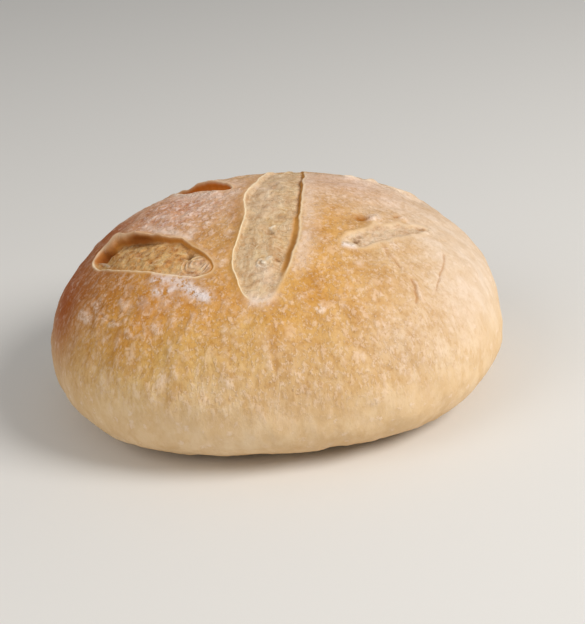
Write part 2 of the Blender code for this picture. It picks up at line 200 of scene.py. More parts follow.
# Single forms of the crust, each along a path (east, north, then the next point): (path, half width, height,
# tint), where the tint is paler above 0 and darker below
MARKS = (
    ((42.6, -31.8, 44.3, -31.2), 2.4, -1.8, -1),
    ((48, -30.8, 50.8, -29.6), 2.3, 1.8, 1),
    ((60.8, -22.8, 64, -19.2), 0.8, -1.1, -1),
    ((64.5, -23, 67, -21), 1.5, 1.3, 0.6),
    ((38.7, -49), 0.7, -1, -0.9),
    ((41, -50), 0.6, -0.8, -0.8),
    ((34, -55, 38.5, -54.5), 1.3, 0.6, 0.6),
    ((71.5, -26.8, 75.5, -25.2, 78, -27.2), 0.6, -0.6, -0.5),
    ((64.4, -68.9, 65.5, -73.5, 66.1, -77.9, 66, -81.2), 0.7, -0.5, -0.55),
    ((66, -70, 67.4, -74.5, 67.9, -79), 0.8, 0.5, 0.5),
    ((83.1, -44, 82.4, -49, 81.3, -53.8), 0.5, -0.4, -0.45),
    ((81.3, -53.8, 78.8, -62.3, 76.8, -69.4), 0.4, -0.4, -0.45),
    ((50.9, -49.6, 54.5, -56, 58.5, -62.6), 0.8, -0.6, -0.35),
    ((56, -48, 58, -50.2), 1.9, 0.5, 0.7),
    ((52.4, -54.8, 53.6, -58.4), 0.6, -0.4, -0.35),
    ((-3.1, -67.2), 1.1, 0.8, 1),
    ((-1.1, -65.2, 0, -64), 0.8, 0.6, 0.9),
    ((-5.5, -69.2, -6.2, -68), 0.8, 0.6, 0.9),
    ((-4, -65.5), 0.6, 0.5, 0.8),
    ((1.2, -43.8, 3.4, -42.4), 0.5, 0.8, 1),
    ((-96, -49, -91.5, -56.5), 2.6, 0.7, 0.75),
    ((-86.2, -51, -85.3, -56.5), 1.6, 0.5, 0.7),
    ((-81.7, -64.4), 2.1, 0.6, 0.6),
    ((-78.5, -69.2, -75, -73), 1.4, 0.5, 0.7),
    ((-70.3, -73.4), 1.6, 0.4, 0.5),
    ((-69.8, -80.5, -69, -83), 1.3, 0.4, 0.6),
    ((-83.5, -74.9), 1.6, 0.4, 0.45),
    ((-75.9, -81.1), 1.4, 0.4, 0.5),
    ((-70.4, -66.2, -71.5, -60.5), 1.4, 0.4, 0.5),
    ((-83.5, -60, -80, -66, -76.5, -70), 0.6, -0.5, -0.4),
    ((-56, -84.2, -55.2, -88), 1.8, 0.4, 0.6),
    ((-45.8, -83.6, -48, -88), 1.2, 0.4, 0.5),
    ((-37.1, -87.2, -40.6, -93), 1.2, 0.4, 0.5),
    ((-11, -107, -8, -108.2), 1.9, 0.5, 0.8),
    ((18.6, -93.3, 20.4, -95, 22.2, -93.3, 20.4, -91.5), 0.8, 0.4, 0.9),
    ((46.5, -133.6, 50, -132.2), 1.6, 0.4, 0.6),
    ((60.5, -115.8, 64, -115), 1.5, 0.3, 0.45),
    ((70.3, -108.5, 72.2, -106.5), 1, 0.3, 0.5),
    ((-92.1, -93.7), 2.2, 0.3, 0.45),
    ((-12.7, -138.5, -12.7, -142), 1.3, 0.3, 0.4),
    ((-50, -125, -49.5, -128), 1.2, 0.3, 0.4),
    ((-2.8, -115, -2.8, -121.5), 0.6, -0.4, -0.45),
    ((-5.8, -115, -5.5, -120), 1, 0.4, 0.45),
    ((-86.8, -12, -82.8, -19, -79, -26.2), 0.6, 0.6, 0.7),
    ((-14, -16, -14.9, -28.7, -13.8, -38), 2.2, 0, -0.4),
    ((-45, 40, 0, 45, 45, 43, 76, 35), 13, -0.9, 0),
    ((65, 40, 79, 33), 9.5, -1.4, 0),
    ((4, 45, 15, 45), 8, -0.8, 0),
    ((52.5, 40, 57, 37), 2.8, 1, 0),
    ((41, 25, 44, 27, 47, 26), 2.6, 0.4, 0.7),
    ((-44.6, 26.3, -37.7, 14.3, -30.2, 5.3, -23.2, -0.2), 1.5, 0.2, 1),
)
PALE_SPREAD = 1.4
MARK_WANDER = 0.6
MARK_WANDER_LENGTH = 3.5
# Stretches of the map that carry a finer mesh: (path, reach)
FINE_STRETCHES = (
    ((33, -56, 56, -37, 78, -24.5), 9.5),
    ((64.4, -68, 66.5, -81.2), 3.8),
    ((83.1, -43, 76.8, -69.4), 2.8),
    ((50.9, -49.6, 58.5, -62.6), 3.6),
    ((-95, -50, -85, -56, -70, -78), 6),
)

# Small blisters strewn over the crust
BLISTERS = 1500
BLISTER_SIZES = (0.7, 2.2)
BLISTER_REACH = (20, 168)
BLISTER_STRETCH = (1.0, 1.9)
BLISTER_PALENESS = (0.15, 0.75)
BLISTER_EDGE = 2.2
BLISTER_RISE = 0.17

CRUST_STEP = 1.25
FINE_STEP = 0.6
FLOOR_STEP = 0.8
EDGE_STEP = 1.0
SIDE_STEP = 1.5
FOOT_STEP = 12.0
MAP_RADIUS = 115.0
# In steps: how far a point is nudged, how near points come to an edge, and how far they stay off a ring
NUDGE = 0.22
EDGE_GAP = 0.55
RING_GAP = 0.6
# The base lies this far past the foot's edge on the map
UNDER_FOOT = 1.02
DOME_STEPS = 400
UNDERSIDE_STEPS = 300
OUTLINE_STEPS = 1440
SEED = 7
MILLIMETRES_IN_METRE = 1000

# ---- colours, as they look on a screen
TONES = {
    "gold": (213, 172, 114),
    "amber": (214, 148, 62),
    "honey": (218, 162, 76),
    "straw": (232, 196, 128),
    "cream": (244, 220, 186),
    "tan": (210, 176, 134),
    "sienna": (176, 98, 24),
    "umber": (164, 78, 10),
    "rose": (233, 182, 158),
    "blush": (230, 199, 188),
    "peach": (230, 208, 184),
    "pearl": (232, 214, 198),
    "sand": (233, 205, 166),
    "crumb_grey": (218, 190, 154),
    "crumb_yellow": (219, 172, 114),
    "crumb_pale": (222, 196, 168),
}
# Stretches of crust with a character of their own: (map centre, sizes east and north)
DARK_FLANK = ((-114, -18), (29, 50))
UPPER_FLANK = ((-78, 10), (14, 16))
SPECKLED_BACK = ((-42, -4), (32, 30))
SLEEK_SIDE = ((120, -35), (45, 85))
# Where the skin is smooth and has few flecks: (stretch, strength), and everywhere low on the side
SLEEK = ((SLEEK_SIDE, 0.85), (DARK_FLANK, 0.7), (UPPER_FLANK, 0.75))
LOW_SLEEKNESS = 0.75
SLEEK_FROM = 125.0
SLEEK_BLEND = 25.0
CLEAN_EDGE = 1.4
CLEAN_EDGE_STRENGTH = 0.9
# Where the crust is baked differently: (tone, map centre, sizes east and north, strength)
ZONES = (
    ("straw", (-64, -102), (55, 22), 0.8),
    ("amber", (-64, -63), (42, 30), 0.85),
    ("honey", (28, -40), (10, 18), 0.8),
    ("honey", (23, -69), (9, 12), 0.8),
    ("honey", (26, -85), (32, 15), 0.6),
    ("honey", (3, -102), (14, 10), 0.5),
    ("honey", (34, -78), (14, 14), 0.45),
    ("amber", (-24, -87), (17, 10), 0.42),
    ("cream", (-50, -132), (30, 20), 0.2),
    ("sienna", (-84, -34), (18, 20), 0.45),
    ("amber", (35, 88), (60, 30), 0.6),
    ("umber", *DARK_FLANK, 0.92),
    ("umber", (-98, 34), (36, 50), 0.55),
    ("umber", (-50, 105), (40, 25), 0.45),
    ("rose", *SPECKLED_BACK, 0.85),
    ("rose", (-62, 30), (30, 30), 0.6),
    ("blush", (45, 12), (42, 30), 0.85),
    # Peach and pearl on the right side: partly a paler crust, partly painted light on the side that faces
    # the key lamp.
    ("peach", (122, -35), (58, 85), 1),
    ("peach", (75, -98), (30, 22), 0.75),
    ("pearl", (92, -40), (34, 66), 0.6),
    ("pearl", (68, -108), (16, 14), 0.45),
    ("pearl", (62, 36), (36, 22), 0.7),
    ("straw", (-102, -84), (34, 26), 0.5),
    ("gold", (56, -86), (22, 16), 0.4),
    ("umber", (-100, 0), (14, 30), 0.4),
    ("umber", *UPPER_FLANK, 0.8),
    ("amber", (-50, -79), (36, 11), 0.5),
    ("peach", (2, -113), (10, 8), 0.35),
)
# The same low on the side, laid over the sand tone of the lower crust
LOW_ZONES = (
    # Cream along the foot: partly its paler bake, partly painted light where the underside turns towards the
    # floor.
    ("cream", (-42, -151), (36, 11), 0.5),
    ("cream", (-33, -129), (14, 10), 0.35),
    ("tan", (8, -133), (20, 12), 0.6),
    # Tan low on the right: partly the crust's colour, partly painted shade where the key lamp falls
    # strongly.
    ("tan", (84, -121), (22, 10), 0.3),
)
SAND_FROM, SAND_TO = 112, 150
SAND_SHARE = 0.9
SAND_OFF_FLANK = 0.6
# Flour left on the crust: (path, half width, amount)
FLOUR = (
    ((-53, -59.2, -48.2, -61.2, -42.2, -64.8, -38.6, -67.6), 3.2, 0.74),
    ((-38.8, -69, -37.3, -72.2, -34.8, -75.7, -32.3, -77.7, -30.7, -80), 3.2, 1),
    ((-53.5, -66.2, -51.2, -68, -47.4, -68.8, -43.4, -67.7), 2.4, 0.78),
    ((-59, -70, -44, -74), 5, 0.22),
    ((33, -56, 37.5, -56), 1.6, 0.7),
    ((-10.5, -88.2, -4.5, -89.3), 2.2, 0.38),
)
# Thin, even veils of flour: (path, half width, amount)
VEILS = (
    ((22, 25, 21.8, 7.7, 20, -14.4, 19.5, -30, 18.5, -42.8), 4.4, 0.55),
    ((18.5, -42.8, 16.7, -54.1, 15.5, -61.5, 13, -69), 4.6, 0.72),
    ((-57.8, -10.3, -51.1, -20.1, -45.6, -27.4, -39.7, -33.1, -35, -38.5), 2.1, 0.95),
    ((-43, 19, -39.8, 12.8, -33.2, 4.5, -25.8, -4, -16, -8.5), 3.4, 0.65),
    ((-28.9, 42.1, -23.2, 30, -18.2, 14.1, -12, 6), 5, 0.6),
    ((-62.6, 6.7), 2.4, 0.5),
    ((-47.6, -11.1, -45.5, -13), 2.4, 0.7),
    ((-38, -15.8), 2, 0.7),
    ((-33.4, -32.4, -35, -34.5), 2.4, 0.8),
    ((-16.9, -41.8), 1.8, 0.6),
    ((-12.1, -8.2, -14.5, -6), 3, 0.9),
    ((-3.5, -1.1, 0, -4, 2.1, -7), 2.8, 0.75),
    ((6, 1, 8.3, 3.8), 1.6, 0.6),
    ((-11, -86.6, -6, -89, -1, -87), 3.6, 0.7),
    ((-32.8, -57.9, -29.5, -62), 5.6, 0.45),
    ((6, 45, 4, 5, -1, -26), 9, 0.26),
    ((-29, -10.6, -20.6, -19.5, -15.8, -18.2), 6, 0.3),
    ((-3.5, -71, -2, -77), 4.4, 0.45),
)

# ---- in metres: rings, floor, light and camera
# Rings in the crumb: ((distance along and across a cut from its middle, the cut's number), spacing, reach)
RINGS = (((0.031, 0.0012, 2), 0.0021, 0.0095), ((-0.0571, -0.0005, 1), 0.0024, 0.0052))
FLOOR_COLOUR = (0.78, 0.77, 0.75, 1.0)
FLOOR_REACH = 6.0
WARM_WHITE = (1.0, 0.97, 0.93)
# (name, size, power, place)
LAMPS = (("key", 0.9, 27.0, (1.25, -0.75, 1.15)), ("fill", 1.4, 9.0, (-1.3, -0.9, 1.3)))
STUDIO_COLOUR = (0.94, 0.93, 0.91, 1.0)
STUDIO_STRENGTH = 0.35
LOAF_MIDDLE = (0.0, 0.0, 0.05)
CAMERA_DISTANCE = 0.7
CAMERA_TILT = math.radians(22.0)
CAMERA_ROLL = math.radians(5.43)
CAMERA_LENS = 81.0
CAMERA_AIM = (0.0086, 0, 0.0354)


# ---- shape
def ease(value):
    """Smooth step of a share between 0 and 1."""
    share = np.clip(value, 0, 1)
    return share * share * (3 - 2 * share)


def loaf_profile():
    """Walked distance, plan radius (as a fraction) and height, from the crown down to the foot."""
    fall = np.linspace(0, np.pi / 2, DOME_STEPS)
    radius = np.sin(fall) ** (2 / CROWN_ROUNDNESS)
    height = WAIST_HEIGHT + CROWN_RISE * np.cos(fall) ** (2 / CROWN_ROUNDNESS)
    foot = np.arcsin((WAIST_HEIGHT / UNDERSIDE_DROP) ** (UNDERSIDE_ROUNDNESS / 2))
    turn = np.linspace(0, foot, UNDERSIDE_STEPS)[1:]
    radius = np.concatenate([radius, np.cos(turn) ** (2 / UNDERSIDE_ROUNDNESS)])
    under = WAIST_HEIGHT - UNDERSIDE_DROP * np.sin(turn) ** (2 / UNDERSIDE_ROUNDNESS)
    height = np.concatenate([height, under])
    mean_radius = (HALF_WIDTH + HALF_DEPTH) / 2
    steps = np.hypot(np.diff(radius) * mean_radius, np.diff(height))
    walked = np.concatenate([[0], np.cumsum(steps)])
    return walked, radius, height


PROFILE = loaf_profile()
FOOT_DISTANCE = PROFILE[0][-1]


def from_crown(plan):
    """Distance of map points from the middle of the crown."""
    return np.hypot(plan[:, 0], plan[:, 1])


def directions(bearing):
    return np.column_stack([np.cos(bearing), np.sin(bearing)])


def wrap(plan):
    """Puts map points on the smooth form of the loaf."""
    walked, radius, height = PROFILE
    distance = from_crown(plan)
    bearing = np.arctan2(plan[:, 1], plan[:, 0])
    east, north = np.cos(bearing), np.sin(bearing)
    square = (np.abs(east) ** PLAN_SQUARENESS + np.abs(north) ** PLAN_SQUARENESS) ** (-1 / PLAN_SQUARENESS)
    reach = np.interp(distance, walked, radius) * square
    rise = np.interp(distance, walked, height)
    return np.column_stack([HALF_WIDTH * reach * east, HALF_DEPTH * reach * north, rise])


def outward(plan):
    """Unit normals of the smooth form at map points."""
    nudge = 0.4
    slope_east = wrap(plan + (nudge, 0)) - wrap(plan - (nudge, 0))
    slope_north = wrap(plan + (0, nudge)) - wrap(plan - (0, nudge))
    normal = np.cross(slope_east, slope_north)
    return normal / np.linalg.norm(normal, axis=1)[:, None]


def ripple(points, size, shift):
    """Smooth noise between about -1 and 1 at each point."""
    flat = np.zeros((len(points), 3))
    flat[:, :points.shape[1]] = points / size
    return np.array([noise.noise(Vector(p)) for p in flat + shift])


def sway(points, size, shift):
    """Two separate noises side by side, which push points about on the map."""
    return np.column_stack([ripple(points, size, shift), ripple(points, size, shift + 6)])


def relief(plan, table=SWELLS, ground=0):
    """Noise of several sizes over a ground, fading out towards the foot: by default the crust's swells."""
    form = wrap(plan)
    height = np.zeros(len(plan)) + ground
    for size, amount, shift in table:
        height += amount * ripple(form, size, shift)
    return height * np.clip((FOOT_DISTANCE - from_crown(plan)) / FOOT_BLEND, 0, 1)


def crust_detail(plan):
    """Fine relief of the baked skin: wrinkles running down from the crown, and grain."""
    distance = from_crown(plan)
    bearing = np.arctan2(plan[:, 1], plan[:, 0])
    around = np.column_stack([directions(bearing) / WRINKLE_TURN, distance / WRINKLE_LENGTH])
    down = np.clip((distance - WRINKLES_FROM) / WRINKLES_BLEND, 0, 1)
    return relief(plan, GRAIN, WRINKLE_HEIGHT * down * ripple(around, 1, 3.1))


def cut_axes(cut):
    start, end = np.array(cut["start"]), np.array(cut["end"])
    half_length = np.linalg.norm(end - start) / 2
    along = (end - start) / (2 * half_length)
    across = np.array([-along[1], along[0]])
    return (start + end) / 2, along, across, half_length


def cut_loop(cut, turn, out):
    """Closed outline of a cut on the map, moved outwards by the given distances."""
    middle, along, across, half_length = cut_axes(cut)
    power = 2 / cut["bluntness"]
    run = np.sign(np.cos(turn)) * np.abs(np.cos(turn)) ** power
    swing = np.sign(np.sin(turn)) * np.abs(np.sin(turn)) ** power
    half_width = cut["half_width"] * (1 + cut["taper"] * run)
    most = MOST_INSET * half_width
    out = np.where(out < 0, -most * np.tanh(-out / most), out)
    length = (half_length + out) * run
    width = (half_width + out) * swing
    for place, side, amount in cut["bulges"]:
        on_side = np.clip(3 * side * np.sin(turn), 0, 1)
        width += side * on_side * amount * np.exp(-((run - place) / BULGE_LENGTH) ** 2)
    return middle + length[:, None] * along + width[:, None] * across


def even_turns(cut):
    """Turn angles that share the outline of a cut out in even steps."""
    fine = np.linspace(0, 2 * np.pi, OUTLINE_STEPS + 1)
    loop = cut_loop(cut, fine, np.zeros(len(fine)))
    walked = np.concatenate([[0], np.cumsum(np.linalg.norm(np.diff(loop, axis=0), axis=1))])
    count = int(round(walked[-1] / EDGE_STEP))
    return np.interp(np.arange(count) * walked[-1] / count, walked, fine)


def place_in_cut(cut, plan):
    """Position along a cut from -1 to 1, and across it from -1 on the right to 1 on the left."""
    middle, along, across, half_length = cut_axes(cut)
    run = np.clip((plan - middle) @ along / half_length, -1, 1)
    width = cut["half_width"] * (1 + cut["taper"] * run)
    return run, np.clip((plan - middle) @ across / width, -1, 1)


def floor_height(cut, plan):
    """Height of the torn floor of a cut against the crust around it."""
    run, side = place_in_cut(cut, plan)
    left_depth, right_depth = cut["depths"]
    depth = (left_depth * (1 + side) + right_depth * (1 - side)) / 2
    depth = depth * (1 - cut["deep_start"] * run)
    shallow_tips = (1 - np.abs(run) ** 3) ** 0.5
    crumb = CRUMB_HEIGHT * ripple(plan, CRUMB_LENGTH, SEED + 31)
    crumb = (crumb + cut["ragged"] * RAG_HEIGHT * ripple(plan, RAG_LENGTH, SEED + 37)) * shallow_tips
    tip_share = TIP_DEPTH + (1 - TIP_DEPTH) * shallow_tips
    height = (cut["floor_bulge"] * (1 - side ** 2) - depth) * tip_share + crumb
    return height - sum(hollow[4] * hollow_share(run, side, hollow) for hollow in cut["hollows"])


def hollow_share(run, side, hollow):
    """1 within a hollow of the floor and 0 outside it, with a steep edge."""
    place, across, run_size, side_size = hollow[:4]
    return np.exp(-(np.abs((run - place) / run_size) ** 4 + np.abs((side - across) / side_size) ** 4))


def smooth_rows(rows, count):
    """Runs a smooth curve through the rows of a table and samples it evenly."""
    rows = np.array(rows)
    place = np.linspace(0, len(rows) - 1, count)
    low = np.minimum(place.astype(int), len(rows) - 2)
    t = (place - low)[:, None]
    padded = np.concatenate([2 * rows[:1] - rows[1:2], rows, 2 * rows[-1:] - rows[-2:-1]])
    before, here, there, after = padded[low], padded[low + 1], padded[low + 2], padded[low + 3]
    bend = 2 * before - 5 * here + 4 * there - after + t * (3 * (here - there) + after - before)
    return here + 0.5 * t * (there - before + t * bend)


def edge_section(cut, turn):
    """Section rows and lip height all round a cut, mixed between the named sections."""
    degrees = np.degrees(turn) % 360
    places = np.array([place for place, _, _ in cut["edges"]], dtype=float)
    lips = np.array([lip for _, _, lip in cut["edges"]])
    tables = np.array([smooth_rows(SECTIONS[name], EDGE_ROWS) for _, name, _ in cut["edges"]])
    after = np.searchsorted(places, degrees, side="right") % len(places)
    before = (after - 1) % len(places)
    share = ease((degrees - places[before]) % 360 / ((places[after] - places[before]) % 360))
    rows = tables[before] * (1 - share)[:, None, None] + tables[after] * share[:, None, None]
    return rows, lips[before] * (1 - share) + lips[after] * share


def path_gap(path, plan):
    """Distance from map points to a path of map points."""
    path = np.reshape(path, (-1, 2))
    gap = np.hypot(*(plan - path[0]).T)
    for a, b in zip(path, path[1:]):
        share = np.clip((plan - a) @ (b - a) / ((b - a) @ (b - a)), 0, 1)
        gap = np.minimum(gap, np.hypot(*(plan - a - share[:, None] * (b - a)).T))
    return gap


class Shell:
    """Vertices, faces and what each vertex is made of, while the loaf grows."""

    def __init__(self):
        self.points, self.plans, self.matter, self.fibre, self.faces = [], [], [], [], []

    def add_points(self, plan, height, matter=(0, 0, 0), fibre=(0, 0, 0)):
        first = len(self.points)
        self.points.extend((wrap(plan) + outward(plan) * height[:, None]).tolist())
        self.plans.extend(plan.tolist())
        self.matter.extend(np.broadcast_to(np.array(matter, dtype=float), (len(plan), 3)).tolist())
        self.fibre.extend(np.broadcast_to(np.array(fibre, dtype=float), (len(plan), 3)).tolist())
        return np.arange(first, len(self.points))

    def add_band(self, outer, inner):
        """Joins two closed loops of equal length; outer runs anticlockwise around inner."""
        self.faces.extend(np.column_stack([outer, np.roll(outer, -1), np.roll(inner, -1), inner]).tolist())

    def add_sheet(self, plan, index, loops, keep, flip=False):
        """Fills a region of the map with triangles; keep decides on their centres."""
        edges = []
        for first, count in loops:
            edges += [(first + k, first + (k + 1) % count) for k in range(count)]
        cells = geometry.delaunay_2d_cdt([Vector(p) for p in plan], edges, [], 0, 1e-4)
        source = [found[0] for found in cells[3]]
        triangles = np.array([[source[corner] for corner in cell] for cell in cells[2]])
        centres = plan[triangles].mean(axis=1)
        kept = index[triangles[keep(centres)]]
        self.faces.extend((kept[:, ::-1] if flip else kept).tolist())


def inside(loop, plan):
    """Whether map points lie within a closed loop."""
    crossings = np.zeros(len(plan), dtype=int)
    for (ax, ay), (bx, by) in zip(loop, np.roll(loop, -1, axis=0)):
        if ay != by:
            spans = (ay > plan[:, 1]) != (by > plan[:, 1])
            meets = ax + (plan[:, 1] - ay) * (bx - ax) / (by - ay)
            crossings += spans & (plan[:, 0] < meets)
    return crossings % 2 == 1


def plan_tree(plan):
    tree = kdtree.KDTree(len(plan))
    for number, (x, y) in enumerate(plan):
        tree.insert((x, y, 0), number)
    tree.balance()
    return tree


def gap_to(loop, plan):
    """Distance from map points to the nearest point of a loop."""
    tree = plan_tree(loop)
    return np.array([tree.find((x, y, 0))[2] for x, y in plan])


def scattered(radius, step):
    """Staggered points filling a disc of the map, each nudged a little."""
    random = np.random.default_rng(SEED)
    reach = int(radius / step) + 2
    column, row = np.meshgrid(np.arange(-reach, reach + 1), np.arange(-reach, reach + 1))
    east = (column + 0.5 * (row % 2)) * step
    north = row * step * np.sqrt(0.75)
    plan = np.column_stack([east.ravel(), north.ravel()])
    plan += random.uniform(-NUDGE, NUDGE, plan.shape) * step
    return plan[from_crown(plan) < radius]


def in_fine_stretch(plan):
    fine = np.zeros(len(plan), dtype=bool)
    for path, reach in FINE_STRETCHES:
        fine |= path_gap(path, plan) < reach
    return fine


def crust_points(radius):
    """Map points for the top of the crust, closer together along the fine stretches."""
    coarse = scattered(radius, CRUST_STEP)
    fine = scattered(radius, FINE_STEP)
    return np.concatenate([coarse[~in_fine_stretch(coarse)], fine[in_fine_stretch(fine)]])


def fibre_of(cut, number, plan):
    """Distance along and across a cut, kept apart from the other cuts by its number."""
    middle, along, across, _ = cut_axes(cut)
    offset = plan - middle
    return np.column_stack([offset @ along, offset @ across, np.full(len(plan), float(number))])


def cut_edge(shell, cut, number):
    """Builds the bands around the edge of one cut; returns its outer and inner loops and its outline."""
    turn = even_turns(cut)
    rows, lip = edge_section(cut, turn)
    outline = cut_loop(cut, turn, np.zeros(len(turn)))
    wander = OUTLINE_WANDER * sway(outline, WANDER_LENGTH, SEED + 11)
    wander += FINE_WANDER * sway(outline, FINE_WANDER_LENGTH, SEED + 61)
    lip = lip * (1 + LIP_WANDER * ripple(outline, WANDER_LENGTH, SEED + 23))
    loops = []
    for row in range(EDGE_ROWS):
        out, lip_part, floor_part = rows[:, row, :3].T
        matter = np.clip(rows[:, row, 3:], 0, 1)
        plan = cut_loop(cut, turn, out) + wander
        grain = crust_detail(plan) * (1 - RIM_SMOOTHNESS * matter[:, 1])
        height = relief(plan) + lip * lip_part + floor_height(cut, plan) * floor_part + grain
        loops.append((plan, shell.add_points(plan, height, matter, fibre_of(cut, number, plan))))
    for (_, outer), (_, inner) in zip(loops, loops[1:]):
        shell.add_band(outer, inner)
    return loops[0], loops[-1], outline + wander


def cut_floor(shell, cut, number, rim_plan, rim):
    """Fills the floor of one cut."""
    plan = scattered(MAP_RADIUS, FLOOR_STEP)
    plan = plan[inside(rim_plan, plan)]
    plan = plan[gap_to(rim_plan, plan) > EDGE_GAP * FLOOR_STEP]
    height = relief(plan) + floor_height(cut, plan) + crust_detail(plan)
    middle = shell.add_points(plan, height, (1, 0, 0), fibre_of(cut, number, plan))
    everything = np.concatenate([rim_plan, plan])
    index = np.concatenate([rim, middle])
    shell.add_sheet(everything, index, [(0, len(rim))], lambda centres: inside(rim_plan, centres))


def upper_crust(shell, rims):
    """Fills the top of the loaf around the cuts; returns the ring it ends on."""
    count = int(round(2 * np.pi * MAP_RADIUS / SIDE_STEP))
    bearing = np.arange(count) * 2 * np.pi / count
    ring_plan = MAP_RADIUS * directions(bearing)
    plan = crust_points(MAP_RADIUS - RING_GAP * CRUST_STEP)
    for rim_plan, _ in rims:
        plan = plan[~inside(rim_plan, plan)]
        plan = plan[gap_to(rim_plan, plan) > EDGE_GAP * FINE_STEP]
    fresh = np.concatenate([ring_plan, plan])
    indices = shell.add_points(fresh, relief(fresh) + crust_detail(fresh))
    everything, index, loops = fresh, indices, [(0, count)]
    for rim_plan, rim in rims:
        loops.append((len(everything), len(rim)))
        everything = np.concatenate([everything, rim_plan])
        index = np.concatenate([index, rim])

    def on_crust(centres):
        covered = np.zeros(len(centres), dtype=bool)
        for rim_plan, _ in rims:
            covered |= inside(rim_plan, centres)
        return ~covered

    shell.add_sheet(everything, index, loops, on_crust)
    return bearing, indices[:count]


def side_and_foot(shell, bearing, ring):
    """Carries the crust down to the foot and closes the flat base."""
    direction = directions(bearing)
    steps = int(round((FOOT_DISTANCE - MAP_RADIUS) / SIDE_STEP))
    for distance in np.linspace(MAP_RADIUS, FOOT_DISTANCE, steps + 1)[1:]:
        plan = direction * distance
        lower = shell.add_points(plan, relief(plan) + crust_detail(plan))
        shell.add_band(lower, ring)
        ring = lower
    foot = wrap(direction * FOOT_DISTANCE)[:, :2]
    foot_radius = from_crown(foot).min()
    middle = scattered(foot_radius - RING_GAP * FOOT_STEP, FOOT_STEP)
    first = len(shell.points)
    shell.points.extend(np.column_stack([middle, np.zeros(len(middle))]).tolist())
    shell.plans.extend((middle / foot_radius * FOOT_DISTANCE * UNDER_FOOT).tolist())
    shell.matter.extend([[0, 0, 0]] * len(middle))
    shell.fibre.extend([[0, 0, 0]] * len(middle))
    everything = np.concatenate([foot, middle])
    index = np.concatenate([ring, np.arange(first, len(shell.points))])
    shell.add_sheet(everything, index, [(0, len(ring))], lambda centres: inside(foot, centres), flip=True)


# ---- what lies on the crust
def add_marks(plan, fields):
    """Adds the single forms: dimples, peaks, cracks and large blisters."""
    wavy = plan + MARK_WANDER * sway(plan, MARK_WANDER_LENGTH, SEED + 41)
    for path, half_width, height, tint in MARKS:
        share = np.exp(-(path_gap(path, wavy) / half_width) ** 2)
        fields["height"] += height * share
        fields["pale"] = np.maximum(fields["pale"], tint * ease(share * PALE_SPREAD))
        fields["shade"] = np.maximum(fields["shade"], -tint * share)


def add_blisters(plan, fields):
    """Strews small blisters, longer down the side than across."""
    random = np.random.default_rng(SEED + 1)
    tree = plan_tree(plan)
    least, most = BLISTER_REACH
    for _ in range(BLISTERS):
        bearing = random.uniform(-np.pi, np.pi)
        distance = math.sqrt(random.uniform(least ** 2, most ** 2))
        size = BLISTER_SIZES[0] + (BLISTER_SIZES[1] - BLISTER_SIZES[0]) * random.random() ** 3
        stretch = random.uniform(*BLISTER_STRETCH)
        paleness = random.uniform(*BLISTER_PALENESS)
        down = np.array([math.cos(bearing), math.sin(bearing)])
        centre = down * distance
        reach = BLISTER_EDGE * size * stretch
        found = [number for _, number, _ in tree.find_range((*centre, 0), reach)]
        if not found:
            continue
        offset = plan[found] - centre
        radial = offset @ down / stretch
        sideways = offset @ np.array([-down[1], down[0]])
        share = np.exp(-(radial ** 2 + sideways ** 2) / size ** 2) * fields["spotted"][found]
        fields["height"][found] += BLISTER_RISE * size * share
        fields["pale"][found] = np.maximum(fields["pale"][found], paleness * share)


def paint_hollow_shade(plan, matter, number, fields):
    """Paints shade into the hollows of the cuts, on their floors and walls."""
    for place, cut in enumerate(CUTS.values(), start=1):
        run, side = place_in_cut(cut, plan)
        for hollow in cut["hollows"]:
            sunk = hollow_share(run, side, hollow) * (number == place)
            sunk = sunk * np.maximum(matter[:, 0], matter[:, 2])
            fields["shade"] = np.maximum(fields["shade"], hollow[5] * sunk)


def dusting(table, plan):
    """Flour at every map point: the most that any path of a table brings."""
    dust = np.zeros(len(plan))
    for path, half_width, amount in table:
        dust = np.maximum(dust, amount * np.exp(-(path_gap(path, plan) / half_width) ** 2))
    return dust


def zone_share(plan, centre, sizes):
    return np.exp(-((plan[:, 0] - centre[0]) / sizes[0]) ** 2 - ((plan[:, 1] - centre[1]) / sizes[1]) ** 2)


def fleck_share(plan, matter, outlines):
    """How much of its flecks the crust has at every map point: few on smooth stretches and along cuts."""
    near_cut = np.full(len(plan), np.inf)
    for outline in outlines:
        near_cut = np.minimum(near_cut, gap_to(outline, plan))
    sleek = LOW_SLEEKNESS * ease((from_crown(plan) - SLEEK_FROM) / SLEEK_BLEND)
    for stretch, strength in SLEEK:
        sleek = np.maximum(sleek, strength * zone_share(plan, *stretch))
    at_cut = CLEAN_EDGE_STRENGTH * np.exp(-(near_cut / CLEAN_EDGE) ** 2)
    spotted = (1 - sleek) * (1 - at_cut) * (1 - matter.max(axis=1))
    return spotted * (1 + zone_share(plan, *SPECKLED_BACK))


def zone_layers(plan, zones):
    """Tone and share of each zone at every map point."""
    return [(TONES[name], strength * zone_share(plan, centre, sizes))
            for name, centre, sizes, strength in zones]


def tone_of(plan, matter, number):
    """Colour of every vertex before its fine pattern: crust zones, then each cut's crumb and wall."""
    colour = np.broadcast_to(linear(TONES["gold"]), (len(plan), 4)).copy()
    low = ease((from_crown(plan) - SAND_FROM) / (SAND_TO - SAND_FROM))
    layers = zone_layers(plan, ZONES)
    layers.append((TONES["sand"], SAND_SHARE * low * (1 - SAND_OFF_FLANK * zone_share(plan, *DARK_FLANK))))
    layers += zone_layers(plan, LOW_ZONES)
    for place, cut in enumerate(CUTS.values(), start=1):
        layers.append((TONES[cut["tone"]], matter[:, 0] * (number == place)))
        layers.append((cut["wall_tone"], matter[:, 2] * (number == place)))
    for tone, share in layers:
        colour += (np.array(linear(tone)) - colour) * share[:, None]
    return colour


# ---- materials
def linear(tone):
    """Screen colour (0 to 255) as the linear values a shader takes."""
    values = []
    for channel in tone:
        c = channel / 255
        values.append(c / 12.92 if c <= 0.04045 else ((c + 0.055) / 1.055) ** 2.4)
    return (*values, 1)


